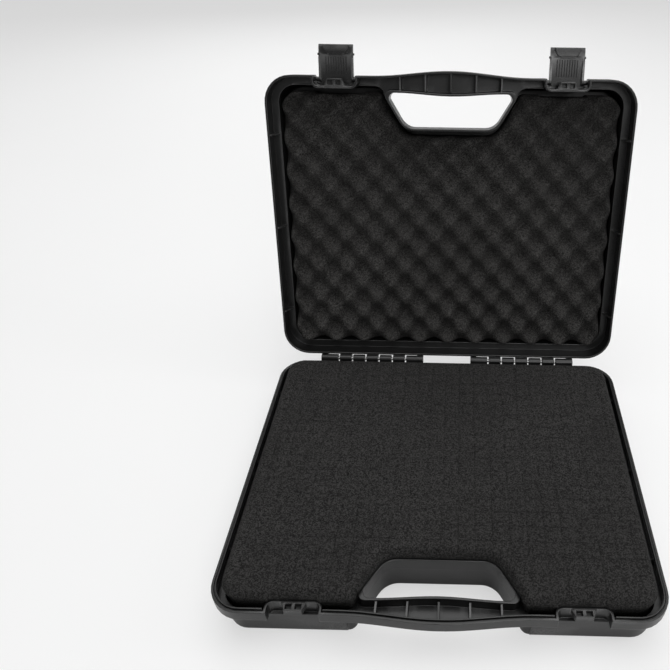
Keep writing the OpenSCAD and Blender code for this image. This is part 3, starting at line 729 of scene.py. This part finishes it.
def latch_ribs(tree, finish, side, body):
    """Fine ribs on the latch's outer face for grip, and coarser stiffening ribs inside it."""
    hand = body.split("_")[1]
    place = (LID_PLACE @ Matrix.Translation((side * LATCH_X, PIVOT_Y, LID_RIM + PIVOT_UP))
             @ Matrix.Rotation(math.radians(-90), 4, "X"))
    for name, count, pitch, length, width, height, face, low in (
            ("grip", 13, 2.1, 17, 0.45, 0.35, LATCH_FACE, -20),
            ("inner", 9, 2.3, 14.5, 0.35, 0.5, LATCH_INSIDE, -19.5)):
        ribs = mesh_object(f"latch_{name}_ribs_{hand}", [(0, 0, 0)], [])
        run_tree(ribs, tree, count=count, pitch=pitch * MM, rib_length=length * MM,
                 rib_width=width * MM, rib_height=height * MM, finish=finish)
        ribs.data.transform(place @ Matrix.Translation((0, face, low * MM)))
        outward(ribs)
        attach(ribs, body)


def outward(obj):
    bm = bmesh.new()
    bm.from_mesh(obj.data)
    bmesh.ops.remove_doubles(bm, verts=bm.verts, dist=0.001 * MM)
    bmesh.ops.recalc_face_normals(bm, faces=bm.faces)
    bm.to_mesh(obj.data)
    bm.free()


# ---- the case -----------------------------------------------------------------------------------

plastic = moulded_plastic("near-black moulded plastic", 0.006, 0.30)
latch_plastic = moulded_plastic("latch plastic", 0.008, 0.28)
pin_wire = drawn_wire("hinge pin wire")
pad_foam = open_cell_foam("diced pad foam", 0.024, 0.02, scored=True)
wave_foam = open_cell_foam("wave foam", 0.031, 0.03)
label_blue = label_film("label film")

finished_shell("base_moulding", "base_shell", "base", plastic)
finished_shell("lid_moulding", "lid_shell", "lid", plastic)
ribs = rib_tree()
for side, latch in ((-1, "latch_left"), (1, "latch_right")):
    finished_shell(latch + "_moulding", latch, latch, latch_plastic, LATCH_RADIUS)
    latch_ribs(ribs, latch_plastic, side, latch)
for pin in ("hinge_pin_left", "hinge_pin_right"):
    frame["nodes"][pin].data.materials.clear()
    frame["nodes"][pin].data.materials.append(pin_wire)
finished_shell("label", "label_plate", "lid", label_blue, LABEL_RADIUS)

foam_top = foam_top_tree()
base_foam(foam_top, pad_foam)
base_pad(foam_top, pad_foam)
lid_foam(foam_top, wave_foam)

# ---- floor, light and camera --------------------------------------------------------------------


ROOM_LIGHT = 0.22     # plain light from all round
GLOSS_SHARE = 0.06    # how much of the white room shows in gloss


def floor_finish(name):
    """White floor that keeps the case's shadow and looks white to the camera and in reflections."""
    f = Finish(name)
    mottle = f.noise(3, 3)
    tint = blended(mottle, grey(0.86), grey(0.9))
    f.surface(tint, ramp(mottle, 0.2, 0.8, 0.7, 0.8), mottle, 0.1 * MM, 0.1)
    glow = made(f.tree, "ShaderNodeEmission", None, {"Strength": 1.0})
    seen = seen_white(f.tree) * 0.55
    mixed = made(f.tree, "ShaderNodeMixShader", None,
                 {0: seen, 1: Value(f.tree, f.shader.outputs[0]), 2: glow})
    f.tree.links.new(mixed.socket, f.tree.nodes["Material Output"].inputs["Surface"])
    return f.material


def seen_white(tree):
    """1 for rays from the camera, off gloss or through glass, and 0 for the rest."""
    camera, glossy, through = (made(tree, "ShaderNodeLightPath", output=ray) for ray in
                               ("Is Camera Ray", "Is Glossy Ray", "Is Transmission Ray"))
    return camera.larger(glossy * GLOSS_SHARE).larger(through)


def soft_light(name, place, target, size, watts):
    lamp = bpy.data.lights.new(name, "AREA")
    lamp.shape = "RECTANGLE"
    lamp.size, lamp.size_y = size
    lamp.energy = watts
    obj = bpy.data.objects.new(name, lamp)
    obj.location = place
    obj.rotation_euler = (Vector(target) - Vector(place)).to_track_quat("-Z", "Y").to_euler()
    bpy.context.scene.collection.objects.link(obj)


floor = mesh_object("floor", [(-6, -6, 0), (6, -6, 0), (6, 6, 0), (-6, 6, 0)], [(0, 1, 2, 3)])
floor.data.materials.append(floor_finish("white floor"))

world = bpy.data.worlds.new("white room")
world.use_nodes = True
bpy.context.scene.world = world
backing = world.node_tree.nodes["Background"]
backing.inputs["Color"].default_value = (1, 1, 1, 1)
strength = seen_white(world.node_tree) * (1 - ROOM_LIGHT) + ROOM_LIGHT
world.node_tree.links.new(strength.socket, backing.inputs["Strength"])

soft_light("overhead softbox", (0.1, 0.15, 1.5), (0.0, 0.0, 0.05), (1.8, 1.5), 17)
soft_light("front fill", (0.5, -1.5, 1.3), (0, 0.2, 0.15), (0.9, 0.7), 9)
soft_light("side strip", (1.5, 0.1, 0.7), (0, 0.1, 0.1), (0.3, 1.2), 4)
soft_light("rear fill", (-0.3, 1.6, 0.8), (0, 0.1, 0.15), (1.2, 0.6), 6)

camera = bpy.data.cameras.new("camera")
camera.sensor_width = 36
camera.lens = 34.75
camera.shift_x = -0.1687
camera.shift_y = -0.0194
viewer = bpy.data.objects.new("camera", camera)
viewer.location = (0.0077, -0.3729, 0.4907)
viewer.rotation_euler = (math.radians(52.17), math.radians(-0.52), math.radians(1.16))
bpy.context.scene.collection.objects.link(viewer)
bpy.context.scene.camera = viewer
bpy.context.scene.view_settings.view_transform = "Standard"

bpy.context.view_layer.update()
